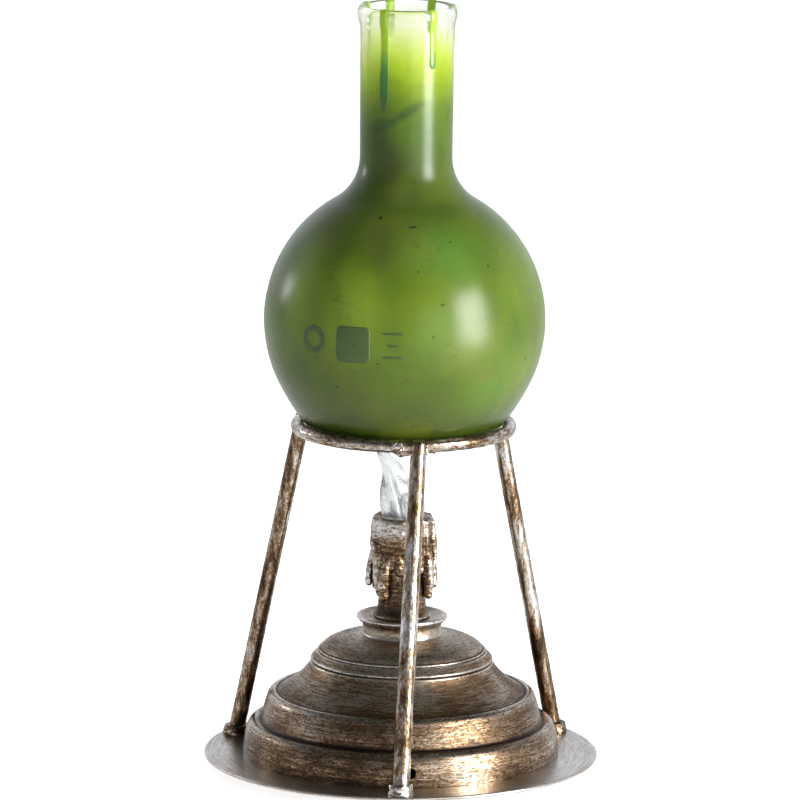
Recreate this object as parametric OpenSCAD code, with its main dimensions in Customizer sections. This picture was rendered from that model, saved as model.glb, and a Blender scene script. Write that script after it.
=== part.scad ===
// Flask lamp: a 500 ml flat-bottomed flask resting in the ring of a welded
// tripod, above a battery candle on a stepped spun-metal base.
// Millimetres, +Z up, origin at the centre of the footprint on the table.
// The front leg stands at -Y. Azimuths turn from the front (-Y) towards +X.

/* [Flask] */
// Outer diameter of the bulb
bulb_d = 105; // [104:0.5:106]
// Height of the flask from its flat bottom to the rim
flask_h = 163; // [160:1:168]
// Outer diameter of the neck
neck_d = 34.4; // [34:0.1:35]
// Bore diameter of the neck
neck_bore_d = 31.2; // [30.8:0.1:31.4]
// Wall thickness of the bulb
bulb_wall = 1.5; // [1.2:0.1:2]
// Outer diameter of the bead at the rim
bead_d = 36.8; // [36:0.1:38]
// Radius of the curve that joins the neck to the bulb
shoulder_r = 19; // [16:1:22]

/* [Tripod] */
// Radius of the ring, to the middle of its rod
ring_r = 39.7; // [39.6:0.1:40]
// Diameter of the ring's rod
ring_rod_d = 5.1; // [4.8:0.1:5.2]
// Height of the middle of the ring's rod above the plate
ring_h = 124.7; // [124.5:0.1:124.8]
// Diameter of the legs
leg_d = 5.6; // [5:0.1:6]
// Radius at which the legs stand on the plate
foot_r = 67.5; // [67:0.5:68]

/* [Base] */
// Diameter of the base plate
plate_d = 148; // [147:1:150]
// Thickness of the base plate
plate_t = 1.3; // [1.2:0.1:1.5]
// Height of the foot pads
pad_h = 3.5; // [3.5:0.1:4]
// Sheet thickness of the stepped cover
sheet_t = 0.9; // [0.8:0.1:1]

/* [Candle] */
// Outer diameter of the candle tube
tube_d = 17.2; // [17:0.1:17.4]
// Outer diameter of the wax sleeve
sleeve_d = 22.6; // [22:0.1:23]
// Height of the candle's top above the plate
candle_top = 91; // [90:0.5:92]
// Height of the flame above the candle's top
flame_h = 25; // [22:0.5:26]

/* [Power] */
// Diameter of an AA cell
cell_d = 14.5; // [14:0.1:14.5]
// Length of an AA cell with its cap
cell_l = 50.5; // [49.5:0.1:50.5]
// Diameter of the insulated leads
lead_d = 1.4; // [1.2:0.1:1.5]

/* [Hidden] */
$fn = 96;

plate_z = pad_h;                 // underside of the base plate
top_z = pad_h + plate_t;         // upper face of the plate, where heights start
silver = [0.66, 0.58, 0.49];
steel = [0.72, 0.73, 0.75];
eps = 0.01;

// Flask outline
bulb_r = bulb_d / 2;
flask_drop = 2.05;     // how far the flat bottom hangs below the ring
flask_z = top_z + ring_h - ring_rod_d / 2 - flask_drop;
bulb_z = flask_z + 44.95;                            // the bulb's centre
rim_z = flask_z + flask_h;
neck_r = neck_d / 2;
bore_r = neck_bore_d / 2;
seat_a = 26;           // below this many degrees the bulb turns slightly conical
seat_r = 85;           // radius of that flatter stretch
heel_r = 12;           // radius between it and the flat bottom
bead_h = 4.2;          // height of the rim bead
lip_r = 0.8;           // rounding inside the rim

// Tripod: [azimuth at the ring, azimuth at the foot]
leg_az = [[8, 0], [120, 120.1], [-110, -111.3]];
leg_ring_r = ring_r + 0.7;
leg_top = ring_h + 1.6;
cope_gap = 0.1;        // room for the braze between the leg and the ring
collar_r = 4.7;
collar_h = 4.2;

// Base
plate_r = plate_d / 2;
plate_play = 0.4;      // room round the battery box in the plate's opening
pad_r = 6;
pad_ring_r = 50;       // circle that the pads stand on
cover_r = 59.3;        // radius of the cover's foot
cover_lip_r = 50.2;    // inner edge of the lip that the foot is turned in to
crown_h = 45.4;        // height of the cover's crown above the plate
cover_screw_r = 53.5;
cover_screw_az = [60, 180, 300];
vent_az = 3.5;         // small hole in the front of the lower tier
vent_h = 5.3;
vent_r = 2;
screw_r = 1.5;         // M3 screws, and the holes that they pass
screw_hole_r = 1.7;
screw_head_h = 1.6;
nut_h = 2.4;

// Candle, as heights above the plate
cup_neck_r = 14.7;
cup_rim_r = 17.1;
cup_rim_h = 52.1;
cup_floor_h = 51;      // where the candle tube stands in the cup
stem_r = 5;            // M10 threaded stem, its foot and its length
stem_bore_r = 3.8;
stem_h = 39;
stem_l = 24;
stem_nut_af = 14;
stem_nut_h = 4;
washer_r = 9;
washer_t = 1;
cap_t = 3;             // thickness of the wax over the top of the tube
tube_wall = 1;
wax_h = [72, 80];      // the wax sleeve's lower edge, and where it reaches its full width
holder_h = [80, 88.1]; // the lamp holder's foot and shoulder
holder_r = 7.5;
led_h = 87.5;          // underside of the lamp's flange
led_r = 2.5;
pin_h = 84.2;          // lower ends of its pins
pin_x = 1.27;

// Battery box: two cells lie along X, side by side
cell_r = cell_d / 2;
cell_y = 7.6;
cell_shift = 1;        // how far the cells sit from the middle, as the springs push them
box_in = [57, 30.8, 16.2];
box_wall = 1.5;
flange_t = 1.2;
flange_x = 34;
flange_z = plate_z - flange_t;
cell_z = flange_z + 0.75 + cell_r;
ear_y = 27;            // screw ears on the long sides
ear_r = 4.2;
rail_y = [18.9, 22.5]; // inner and outer faces of the door's rails
groove_h = 1.25;       // the door's groove, how deep it cuts into the rails, and the lip under it
groove_depth = 1.4;
rail_lip = 0.45;
door = [63.6, 40.2, 1.1];
door_z = flange_z - door[2] - 0.05;
contact_t = 0.5;
contact_w = 12;
contact_h = 10;
spring_turns = 3.5;    // conical spring, narrow end on the cell
spring_wire_r = 0.3;
spring_r = [4.9, 2.3];
spring_l = box_in[0] / 2 - cell_l / 2 - cell_shift - contact_t;

// Slide switch: the openings leave room for the slider and its travel along Y
switch_x = -41;
switch_travel = 3;
switch_flange = [9, 16, 1];
switch_case = [7, 13.4, 7.5];
slider_foot = [4.6, 6.6, 2.1];
knob = [2.8, 4.6, 4];
switch_play = 0.3;
lug = [0.5, 2, 3];     // solder lugs
lug_y = 3;

// Routes of the leads, inside the cover and up the stem to the lamp's pins
lead_z = 13;
tag_x = -box_in[0] / 2 - box_wall;
lug_z = plate_z + 10.4;
stem_climb = [42, 50, 66, 78, top_z + pin_h];
route_positive = concat(
    [[tag_x, 7, lead_z], [tag_x - 2, 7, lead_z], [-36, 8, 16], [-37, 9, 21], [-30, 9, 28],
     [-16, 6, 33], [-5, 2, 36]],
    [for (z = stem_climb) [pin_x, 0, z]]);
route_negative = concat(
    [[switch_x, -lug_y, lug_z], [switch_x, -lug_y, lug_z + 2], [-42, -5, 19], [-39, -7, 25], [-28, -8, 30],
     [-14, -6, 33], [-6, -3, 37]],
    [for (z = stem_climb) [-pin_x, 0, z]]);
route_switch = [[tag_x, -7, lead_z], [tag_x - 2, -7, lead_z], [-35, -4, 16], [-39, 1, 18.5],
                [switch_x, lug_y, lug_z + 2], [switch_x, lug_y, lug_z]];

// ---- shape helpers ------------------------------------------------------
function polar(r, az) = [r * sin(az), -r * cos(az)];
function arc(c, r, a0, a1, n) =
    [for (i = [0:n]) let (a = a0 + (a1 - a0) * i / n) [c[0] + r * cos(a), c[1] + r * sin(a)]];
function bezier(p0, p1, p2, p3, t) =
    pow(1 - t, 3) * p0 + 3 * t * pow(1 - t, 2) * p1 + 3 * t * t * (1 - t) * p2 + pow(t, 3) * p3;
// Outline shifted to its right-hand side by t, as the inner face of a shell
function side(p, i) = let (a = p[max(i - 1, 0)], b = p[min(i + 1, len(p) - 1)], d = b - a)
    [d[1], -d[0]] / norm(d);
function inset(p, t) = [for (i = [0:len(p) - 1]) p[i] + t * side(p, i)];
function reversed(p) = [for (i = [len(p) - 1:-1:0]) p[i]];

module at_az(r, az, z = 0) {
    translate([polar(r, az)[0], polar(r, az)[1], z]) rotate([0, 0, az]) children();
}

// A round bar from a to b
module bar(a, b, r) {
    d = b - a;
    translate(a) rotate([0, acos(d[2] / norm(d)), atan2(d[1], d[0])]) rotate([0, 0, 90])
        cylinder(r = r, h = norm(d));
}

// Tube of radius r swept along points p
function unit(v) = v / norm(v);
function dir(p, i) = unit(p[min(i + 1, len(p) - 1)] - p[max(i - 1, 0)]);
module sweep_tube(p, r, sides) {
    n = len(p);
    up = [0.13, 1, 0.07];
    rings = [for (i = [0:n - 1]) let (d = dir(p, i), u = unit(cross(d, up)), v = cross(d, u))
        for (k = [0:sides - 1]) p[i] + r * (cos(360 * k / sides) * u + sin(360 * k / sides) * v)];
    walls = [for (i = [0:n - 2], k = [0:sides - 1]) let (a = i * sides, b = a + sides, m = (k + 1) % sides)
        [a + k, b + k, b + m, a + m]];
    caps = [[for (k = [0:sides - 1]) k], [for (k = [sides - 1:-1:0]) (n - 1) * sides + k]];
    polyhedron(points = rings, faces = concat(walls, caps), convexity = 6);
}

// Points along a route with rounded corners, from its hand-set points
function smooth(p, n) = [for (i = [0:len(p) - 2], j = [0:n - 1]) let (
        a = p[max(i - 1, 0)], b = p[i], c = p[i + 1], d = p[min(i + 2, len(p) - 1)], t = j / n)
        0.5 * (2 * b + (c - a) * t + (2 * a - 5 * b + 4 * c - d) * t * t
        + (3 * b - a - 3 * c + d) * t * t * t), p[len(p) - 1]];

// ---- flask --------------------------------------------------------------
function flask_outer() = let (
        seat_c = [-(seat_r - bulb_r) * cos(seat_a), bulb_z + (seat_r - bulb_r) * sin(seat_a)],
        heel_c = heel_centre(seat_c),
        heel_a = atan2(heel_c[1] - seat_c[1], heel_c[0] - seat_c[0]),
        join_z = bulb_z + sqrt(pow(bulb_r + shoulder_r, 2) - pow(neck_r + shoulder_r, 2)),
        join_a = atan2(join_z - bulb_z, neck_r + shoulder_r))
    concat(
        [[0, flask_z]],
        arc(heel_c, heel_r, -90, heel_a, 8),
        arc(seat_c, seat_r, heel_a + 2, -seat_a, 8),
        arc([0, bulb_z], bulb_r, -seat_a + 5, join_a, 18),
        arc([neck_r + shoulder_r, join_z], shoulder_r, 180 + join_a - 8, 180, 8));
// The heel's centre lies heel_r above the bottom and heel_r inside the seat arc
function heel_centre(c) = [c[0] + sqrt(pow(seat_r - heel_r, 2) - pow(flask_z + heel_r - c[1], 2)),
        flask_z + heel_r];
module flask() {
    outer = flask_outer();
    n = len(outer);
    inner = [for (i = [1:n - 1]) outer[i] - bulb_wall * side(outer, i)];
    wide = [for (p = inner) if (p[0] > bore_r + 0.2) p];
    bead_r = bead_h / 2;
    bead_c = bead_d / 2 - bead_r;
    color([0.36, 0.55, 0.16])
    rotate_extrude($fn = 180) polygon(concat(
        outer,
        [[neck_r + 0.3, rim_z - bead_h - 2]],
        arc([bead_c, rim_z - bead_r], bead_r, -60, 90, 8),
        arc([bore_r + lip_r, rim_z - lip_r], lip_r, 90, 180, 4),
        [[bore_r, wide[len(wide) - 1][1] + 3]],
        reversed(wide),
        [[0, flask_z + bulb_wall + 0.3]]));
}

// ---- tripod -------------------------------------------------------------
module ring() {
    color(silver) translate([0, 0, top_z + ring_h])
    rotate_extrude($fn = 144) translate([ring_r, 0]) circle(d = ring_rod_d, $fn = 32);
}
function leg_foot(i) = [polar(foot_r, leg_az[i][1])[0], polar(foot_r, leg_az[i][1])[1], top_z];
function leg_at_ring(i) = [polar(leg_ring_r, leg_az[i][0])[0], polar(leg_ring_r, leg_az[i][0])[1],
        top_z + ring_h];
// The rod stands on the plate, and its top is coped to the outside of the ring
module leg(i) {
    d = leg_at_ring(i) - leg_foot(i);
    az = leg_az[i][0];
    color(silver) difference() {
        bar(leg_foot(i) - d * 0.03, leg_foot(i) + d * 1.1, leg_d / 2);
        translate([-plate_r, -plate_r, top_z - 20]) cube([plate_d, plate_d, 20]);
        translate([-plate_r, -plate_r, top_z + leg_top]) cube([plate_d, plate_d, 30]);
        at_az(ring_r, az, top_z + ring_h) rotate([0, 90, 0])
            cylinder(d = ring_rod_d + 2 * cope_gap, h = 30, center = true);
        at_az(ring_r, az, top_z + ring_h) translate([-10, 0, -0.4]) cube([20, 20, 20]);
    }
}
// Short ferrule brazed round the foot of the leg
module leg_collar(i) {
    d = leg_at_ring(i) - leg_foot(i);
    color(silver) difference() {
        bar(leg_foot(i) - d * 0.03, leg_foot(i) + d * (collar_h / norm(d)), collar_r);
        bar(leg_foot(i) - d * 0.05, leg_foot(i) + d * 0.2, leg_d / 2);
        translate([-plate_r, -plate_r, top_z - 20]) cube([plate_d, plate_d, 20]);
    }
}

// ---- base ---------------------------------------------------------------
// Opening through the plate, from its half length and half width
module window(half) {
    translate([-half[0], -half[1], plate_z - 1]) cube([2 * half[0], 2 * half[1], plate_t + 2]);
}
module base_plate() {
    color(silver) difference() {
        translate([0, 0, plate_z]) rotate_extrude($fn = 180) polygon(concat(
            [[0, 0]],
            arc([plate_r - plate_t / 2, plate_t / 2], plate_t / 2, -90, 90, 8),
            [[0, plate_t]]));
        window([box_in[0] / 2 + box_wall + plate_play, box_in[1] / 2 + box_wall + plate_play]);
        translate([switch_x, 0, 0]) window([switch_case[0] / 2 + 0.2, switch_case[1] / 2 + 0.2]);
        for (az = cover_screw_az) at_az(cover_screw_r, az, plate_z - 1)
            cylinder(r = screw_hole_r, h = plate_t + 2);
        for (s = [-1, 1]) translate([0, s * ear_y, plate_z - 1]) cylinder(r = screw_r, h = plate_t + 2);
    }
}
module foot_pad(az) {
    color([0.12, 0.12, 0.12]) at_az(pad_ring_r, az) rotate_extrude($fn = 48)
        polygon([[0, 0], [pad_r - 0.6, 0], [pad_r, 0.6], [pad_r, pad_h], [0, pad_h]]);
}

// Two spun tiers, a flared cone, a bead and a low crown, as heights above the plate
function cover_outer() = concat(
        [[cover_r, 0], [cover_r, 1]],
        arc([55.6, 8.6], 3.6, 10, 80, 6),
        [[53.1, 12.3]],
        arc([47.9, 20.7], 2.8, 14, 100, 6),
        [[46.7, 23.2]],
        [for (t = [0.2:0.2:1]) bezier([46.7, 23.2], [42.5, 25.3], [35.8, 30.6], [34.2, 35], t)],
        [[34.1, 35.6], [31.6, 38.9], [30.8, 39.5]],
        [for (t = [0.25:0.25:1]) bezier([30.8, 39.5], [29.6, 41.4], [27.6, 43.1], [22, 44.3], t)],
        [[cup_neck_r, crown_h]]);
module stepped_cover() {
    outer = cover_outer();
    inner = [for (i = [1:len(outer) - 1]) outer[i] - sheet_t * side(outer, i)];
    color(silver) difference() {
        translate([0, 0, top_z]) rotate_extrude($fn = 180) polygon(concat(
            outer,
            [[stem_r + 0.1, crown_h], [stem_r + 0.1, crown_h - sheet_t]],
            reversed(inner),
            [[cover_r - sheet_t, sheet_t], [cover_lip_r, sheet_t], [cover_lip_r, 0]]));
        for (az = cover_screw_az) at_az(cover_screw_r, az, top_z - 1)
            cylinder(r = screw_hole_r, h = sheet_t + 2);
        at_az(cover_lip_r, vent_az, top_z + vent_h) rotate([90, 0, 0]) cylinder(r = vent_r, h = 20);
    }
}
module pan_screw(head_z, length) {
    translate([0, 0, head_z]) {
        difference() {
            rotate_extrude($fn = 48) polygon(concat(
                [[0, 0], [2, 0]], arc([1.9, 0.9], 0.9, -60, 0, 4),
                [[2.8, screw_head_h], [screw_r, screw_head_h],
                 [screw_r, length + screw_head_h], [0, length + screw_head_h]]));
            for (a = [0, 90]) rotate([0, 0, a]) translate([-1.6, -0.25, -1]) cube([3.2, 0.5, 1.8]);
        }
    }
}
module cover_screws() {
    color(steel) for (az = cover_screw_az) at_az(cover_screw_r, az) pan_screw(plate_z - screw_head_h, 6);
}
module cover_nuts() {
    color(steel) for (az = cover_screw_az) at_az(cover_screw_r, az, top_z + sheet_t) difference() {
        rotate([0, 0, 90]) cylinder(d = 5.5 / cos(30), h = nut_h, $fn = 6);
        translate([0, 0, -1]) cylinder(r = screw_r + 0.05, h = 5, $fn = 32);
    }
}

// ---- candle -------------------------------------------------------------
module candle_cup() {
    color(silver) translate([0, 0, top_z]) rotate_extrude() polygon(concat(
        [[stem_r + 0.1, crown_h], [cup_neck_r, crown_h]],
        arc([cup_neck_r + 1.6, 48.1], 1.6, 180, 110, 4),
        [[cup_rim_r - 0.3, cup_rim_h - 1]],
        arc([cup_rim_r - 0.7, cup_rim_h], 0.7, -40, 130, 6),
        [[cup_rim_r - 1.5, cup_rim_h - 0.1]],
        arc([10.6, 53.4], 2, -90, -160, 4),
        [[tube_d / 2, 52.1], [tube_d / 2, cup_floor_h], [stem_r + 0.1, cup_floor_h]]));
}
module stem_tube() {
    color([0.75, 0.65, 0.35]) translate([0, 0, top_z + stem_h]) difference() {
        cylinder(r = stem_r, h = stem_l);
        translate([0, 0, -1]) cylinder(r = stem_bore_r, h = stem_l + 2);
    }
}
module stem_washer() {
    color(steel) translate([0, 0, top_z + crown_h - sheet_t - washer_t]) difference() {
        cylinder(r = washer_r, h = washer_t);
        translate([0, 0, -1]) cylinder(r = stem_r + 0.1, h = washer_t + 2);
    }
}
module stem_nut() {
    color(steel) translate([0, 0, top_z + crown_h - sheet_t - washer_t - stem_nut_h]) difference() {
        cylinder(d = stem_nut_af / cos(30), h = stem_nut_h, $fn = 6);
        translate([0, 0, -1]) cylinder(r = stem_r + 0.05, h = stem_nut_h + 2);
    }
}
module candle_tube() {
    color([0.45, 0.37, 0.3]) translate([0, 0, top_z]) difference() {
        translate([0, 0, cup_floor_h]) cylinder(r = tube_d / 2, h = candle_top - cap_t - cup_floor_h);
        translate([0, 0, cup_floor_h + 2]) cylinder(r = tube_d / 2 - tube_wall, h = candle_top);
        translate([0, 0, cup_floor_h - 1]) cylinder(r = stem_r + 0.05, h = 4);
    }
}
// Drips as [azimuth, height of the lower end, radius, how far out its middle lies]
drip_top = 82;
drips = [[-78, 64, 2.3, 11.2], [-48, 57, 2.2, 9.9], [-14, 66, 2.4, 10.2], [22, 60, 2.3, 10.2],
         [58, 69, 2.2, 10.4], [84, 59.5, 2.2, 10.9], [122, 63, 2.3, 10.4], [165, 58, 2.4, 10.2],
         [-150, 67, 2.2, 10.4], [-112, 61, 2.2, 10.3]];
module wax_sleeve() {
    color([0.5, 0.44, 0.37]) translate([0, 0, top_z]) difference() {
        union() {
            translate([0, 0, wax_h[0]])
                cylinder(r1 = sleeve_d / 2 - 0.8, r2 = sleeve_d / 2, h = wax_h[1] - wax_h[0]);
            translate([0, 0, wax_h[1]]) cylinder(r = sleeve_d / 2, h = candle_top - 1 - wax_h[1]);
            translate([0, 0, candle_top - 1]) cylinder(r1 = sleeve_d / 2, r2 = sleeve_d / 2 - 0.7, h = 1);
            for (d = drips) at_az(d[3], d[0]) {
                translate([0, 0, d[1] + d[2]]) cylinder(r = d[2], h = drip_top - d[1] - d[2], $fn = 24);
                for (z = [d[1] + d[2], drip_top]) translate([0, 0, z]) sphere(r = d[2], $fn = 24);
            }
        }
        translate([0, 0, cup_floor_h])
            cylinder(r = tube_d / 2 + 0.05, h = candle_top - cap_t + 0.1 - cup_floor_h);
        translate([0, 0, wax_h[1]]) cylinder(r = holder_r + 0.7, h = 20);
    }
}
module led_holder() {
    color([0.9, 0.9, 0.86]) translate([0, 0, top_z]) difference() {
        union() {
            translate([0, 0, holder_h[0]]) cylinder(r = holder_r, h = holder_h[1] - holder_h[0]);
            translate([0, 0, holder_h[1]]) cylinder(r = holder_r + 0.6, h = 2.5);
        }
        translate([0, 0, holder_h[0] - 1]) cylinder(r = holder_r - 1.9, h = 7);
        translate([0, 0, led_h]) cylinder(r = led_r + 0.45, h = 5);
        for (s = [-1, 1]) translate([s * pin_x, 0, holder_h[0]]) cylinder(r = 0.8, h = 12, $fn = 24);
    }
}
module led() {
    color([1, 0.85, 0.5]) translate([0, 0, top_z]) {
        translate([0, 0, led_h]) cylinder(r = led_r + 0.4, h = 1);
        translate([0, 0, led_h + 1]) cylinder(r = led_r, h = 5.1);
        translate([0, 0, led_h + 6.1]) intersection() {
            sphere(r = led_r);
            cylinder(r = led_r + 0.5, h = led_r + 0.5);
        }
        for (s = [-1, 1]) translate([s * pin_x, 0, pin_h]) cylinder(r = 0.3, h = led_h - pin_h, $fn = 16);
    }
}
// Each level of the flame is an ellipse between a left and a right edge curve
function flame_left(t) = bezier([-7.7, 0], [-9.2, 8], [-4.6, 17], [-10.6, flame_h], t);
function flame_right(t) = bezier([7.7, 0], [8.4, 9], [2.2, 17.6], [-10.3, flame_h - 0.2], t);
flame_rings = 16;
flame_sides = 28;
function flame_points() = [for (i = [0:flame_rings]) let (
        t = i / flame_rings, l = flame_left(t), r = flame_right(t), c = (l + r) / 2, h = (r - l) / 2,
        depth = norm(h) * (1 - 0.12 * t))
        for (k = [0:flame_sides - 1]) let (a = 360 * k / flame_sides)
        [c[0] + h[0] * cos(a), depth * sin(a), c[1] + h[1] * cos(a)]];
module flame_tip() {
    walls = [for (i = [0:flame_rings - 1], k = [0:flame_sides - 1]) let (
        a = i * flame_sides, b = a + flame_sides, m = (k + 1) % flame_sides) [a + k, b + k, b + m, a + m]];
    caps = [[for (k = [0:flame_sides - 1]) k],
            [for (k = [flame_sides - 1:-1:0]) flame_rings * flame_sides + k]];
    color([0.92, 0.94, 0.93]) translate([0, 0, top_z + candle_top - 0.4]) difference() {
        polyhedron(points = flame_points(), faces = concat(walls, caps), convexity = 4);
        translate([0, 0, -1]) cylinder(r = 3.1, h = 8);
    }
}

// ---- power --------------------------------------------------------------
module battery_box() {
    case = [box_in[0] + 2 * box_wall, box_in[1] + 2 * box_wall, box_in[2] + box_wall];
    rail_z = flange_z - groove_h - rail_lip;
    rail_h = groove_h + rail_lip + eps;
    rail_w = rail_y[1] - rail_y[0];
    groove_y = rail_y[0] + groove_depth;
    color([0.1, 0.1, 0.1]) difference() {
        union() {
            translate([-case[0] / 2, -case[1] / 2, flange_z]) cube(case);
            translate([-flange_x, -rail_y[1], flange_z]) cube([2 * flange_x, 2 * rail_y[1], flange_t]);
            for (s = [-1, 1]) {
                translate([0, s * ear_y, flange_z]) cylinder(r = ear_r, h = flange_t);
                translate([-ear_r, s > 0 ? 20 : -ear_y, flange_z]) cube([2 * ear_r, ear_y - 20, flange_t]);
                translate([-flange_x, s > 0 ? rail_y[0] : -rail_y[1], rail_z])
                    cube([2 * flange_x, rail_w, rail_h]);
            }
            translate([-flange_x, -rail_y[1], rail_z]) cube([2, 2 * rail_y[1], rail_h]);
        }
        translate([-box_in[0] / 2, -box_in[1] / 2, flange_z - 1]) cube([box_in[0], box_in[1], box_in[2] + 1]);
        translate([2 - flange_x, -groove_y, flange_z - groove_h]) cube([70, 2 * groove_y, groove_h]);
        for (s = [-1, 1]) translate([0, s * ear_y, flange_z - 1]) cylinder(r = screw_hole_r, h = 4);
    }
}
module box_screws() {
    color(steel) for (s = [-1, 1]) translate([0, s * ear_y, 0]) pan_screw(flange_z - screw_head_h, 4.5);
}
module battery(side) {
    color([0.2, 0.2, 0.22]) translate([0, side * cell_y, cell_z]) rotate([0, 90 * side, 0])
    translate([0, 0, -cell_l / 2 - cell_shift]) rotate_extrude($fn = 64) polygon(concat(
        [[0, 0], [4.6, 0], [4.6, 0.3], [cell_r - 0.5, 0.3]],
        arc([cell_r - 0.5, 0.8], 0.5, -90, 0, 3),
        arc([cell_r - 0.5, cell_l - 2], 0.5, 0, 90, 3),
        [[2.75, cell_l - 1.5]],
        arc([2.35, cell_l - 0.4], 0.4, 0, 90, 3),
        [[0, cell_l]]));
}
// Coil spring pressed against the flat end of a cell
module contact_spring(side) {
    steps = 84;
    path = [for (i = [0:steps]) let (t = i / steps, a = 360 * spring_turns * t,
        r = spring_r[0] + (spring_r[1] - spring_r[0]) * t)
        [r * cos(a), r * sin(a), spring_wire_r + (spring_l - 2 * spring_wire_r) * t]];
    color(steel) translate([-side * (box_in[0] / 2 - contact_t), side * cell_y, cell_z])
        rotate([0, 90 * side, 0]) sweep_tube(path, spring_wire_r, 8);
}
// Plate that joins the far ends of the two cells
module contact_bridge() {
    color(steel) translate([box_in[0] / 2 - contact_t, -cell_y - contact_w / 2, cell_z - contact_h / 2])
        cube([contact_t, 2 * cell_y + contact_w, contact_h]);
}
module contact_tags() {
    color(steel) for (s = [-1, 1])
        translate([-box_in[0] / 2, s * cell_y - contact_w / 2, cell_z - contact_h / 2])
            cube([contact_t, contact_w, contact_h]);
}
module battery_door() {
    color([0.1, 0.1, 0.1]) difference() {
        union() {
            translate([-door[0] / 2, -door[1] / 2, door_z]) cube(door);
            for (i = [0:3]) translate([20 + 2.4 * i, -7, door_z - 0.5]) cube([1.2, 14, 0.6]);
        }
        translate([12, 0, door_z - 0.1]) cylinder(r = 3, h = 0.5);
    }
}
// A box centred on the switch, from its size and the height of its underside
module switch_block(size, z) {
    translate([switch_x - size[0] / 2, -size[1] / 2, z]) cube(size);
}
module switch_body() {
    slot = [knob[0] + 2 * switch_play, knob[1] + switch_travel + 2 * switch_play, 5];
    room = [slider_foot[0] + 2 * switch_play, slider_foot[1] + switch_travel + 1, slider_foot[2] + 0.5];
    color([0.15, 0.15, 0.15]) difference() {
        union() {
            switch_block(switch_flange, plate_z - switch_flange[2]);
            switch_block(switch_case, plate_z - eps);
            for (s = [-1, 1]) translate([0, s * lug_y, 0]) switch_block(lug, plate_z + switch_case[2] - 0.1);
        }
        switch_block(slot, plate_z - 2);
        switch_block(room, plate_z + 0.6);
    }
}
module switch_slider() {
    color([0.85, 0.85, 0.85]) translate([0, -switch_travel / 2, 0]) {
        switch_block(knob, plate_z - 2);
        switch_block(slider_foot, plate_z + 0.8);
        for (i = [-1:1]) translate([0, i * 1.4, 0]) switch_block([knob[0], 0.6, 0.6], plate_z - 2.5);
    }
}
module lead(route, c) { color(c) sweep_tube(smooth(route, 5), lead_d / 2, 8); }
module lead_positive() { lead(route_positive, [0.7, 0.08, 0.06]); }
module lead_negative() { lead(route_negative, [0.08, 0.08, 0.08]); }
module lead_switch() { lead(route_switch, [0.08, 0.08, 0.08]); }

flask();
ring();
leg(0);  // leg_front
leg(1);  // leg_right
leg(2);  // leg_left
leg_collar(0);  // leg_collar_front
leg_collar(1);  // leg_collar_right
leg_collar(2);  // leg_collar_left
base_plate();
foot_pad(45);  // foot_pad_1
foot_pad(135);  // foot_pad_2
foot_pad(225);  // foot_pad_3
foot_pad(315);  // foot_pad_4
stepped_cover();
cover_screws();
cover_nuts();
candle_cup();
stem_tube();
stem_washer();
stem_nut();
candle_tube();
wax_sleeve();
led_holder();
led();
flame_tip();
battery_box();
box_screws();
battery(-1);  // battery_1
battery(1);  // battery_2
contact_spring(-1);  // contact_spring_1
contact_spring(1);  // contact_spring_2
contact_bridge();
contact_tags();
battery_door();
switch_body();
switch_slider();
lead_positive();
lead_negative();
lead_switch();
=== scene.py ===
"""Looks of the flask lamp: a stained green flask in the ring of a tripod, over a battery candle.

Lengths in the tables and outlines are millimetres; MM turns them into Blender's metres. Azimuths are degrees
from the front (-Y) towards +X. Outlines are lists of (radius, height) points.
"""

import math

import bmesh
import bpy
from mathutils import Matrix, Vector, noise


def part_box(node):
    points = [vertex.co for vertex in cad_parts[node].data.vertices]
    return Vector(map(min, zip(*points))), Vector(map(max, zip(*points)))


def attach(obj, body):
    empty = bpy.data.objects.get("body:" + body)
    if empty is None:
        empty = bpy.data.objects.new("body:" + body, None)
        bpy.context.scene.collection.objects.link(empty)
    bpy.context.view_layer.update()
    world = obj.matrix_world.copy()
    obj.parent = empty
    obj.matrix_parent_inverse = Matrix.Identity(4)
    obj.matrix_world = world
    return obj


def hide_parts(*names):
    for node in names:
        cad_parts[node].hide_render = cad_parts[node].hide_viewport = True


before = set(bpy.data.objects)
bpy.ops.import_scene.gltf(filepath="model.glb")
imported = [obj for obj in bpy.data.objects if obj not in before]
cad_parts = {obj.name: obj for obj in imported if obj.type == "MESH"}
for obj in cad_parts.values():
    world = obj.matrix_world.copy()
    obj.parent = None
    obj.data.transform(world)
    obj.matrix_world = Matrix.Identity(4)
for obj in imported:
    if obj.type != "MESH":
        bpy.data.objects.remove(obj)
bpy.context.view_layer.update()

MM = 0.001


def extent(node):
    """Lowest and highest corner of a CAD node, in millimetres."""
    low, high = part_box(node)
    return Vector(low) / MM, Vector(high) / MM


# Driving heights and radii, taken from the frame
PLATE_TOP = extent("base_plate")[1].z
FLASK_BOTTOM = extent("flask")[0].z
RIM = extent("flask")[1].z
BULB_R = extent("flask")[1].x
BULB_Z = FLASK_BOTTOM + 44.95
RING_LOW, RING_HIGH = extent("ring")
RING_ROD = (RING_HIGH.z - RING_LOW.z) / 2
RING_R = RING_HIGH.x - RING_ROD
RING_Z = (RING_LOW.z + RING_HIGH.z) / 2
COVER_TOP = extent("stepped_cover")[1].z
FLAME_FOOT = extent("flame_tip")[0].z

# Sizes that the frame doesn't give
NECK_R = 17.2
WALL = 1.6  # of the flask
BORE = NECK_R - WALL
LEG_R = 2.8
COVER_R = 59.3
FOOT_R = 67.5  # of the circle on which the legs stand
SPOT_DEPTH = 30  # how deep a stain goes, in and out of the flask's wall
LEGS = {"front": (8, 0), "right": (120, 120.1), "left": (-110, -111.3)}  # azimuths at the ring and the plate

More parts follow.
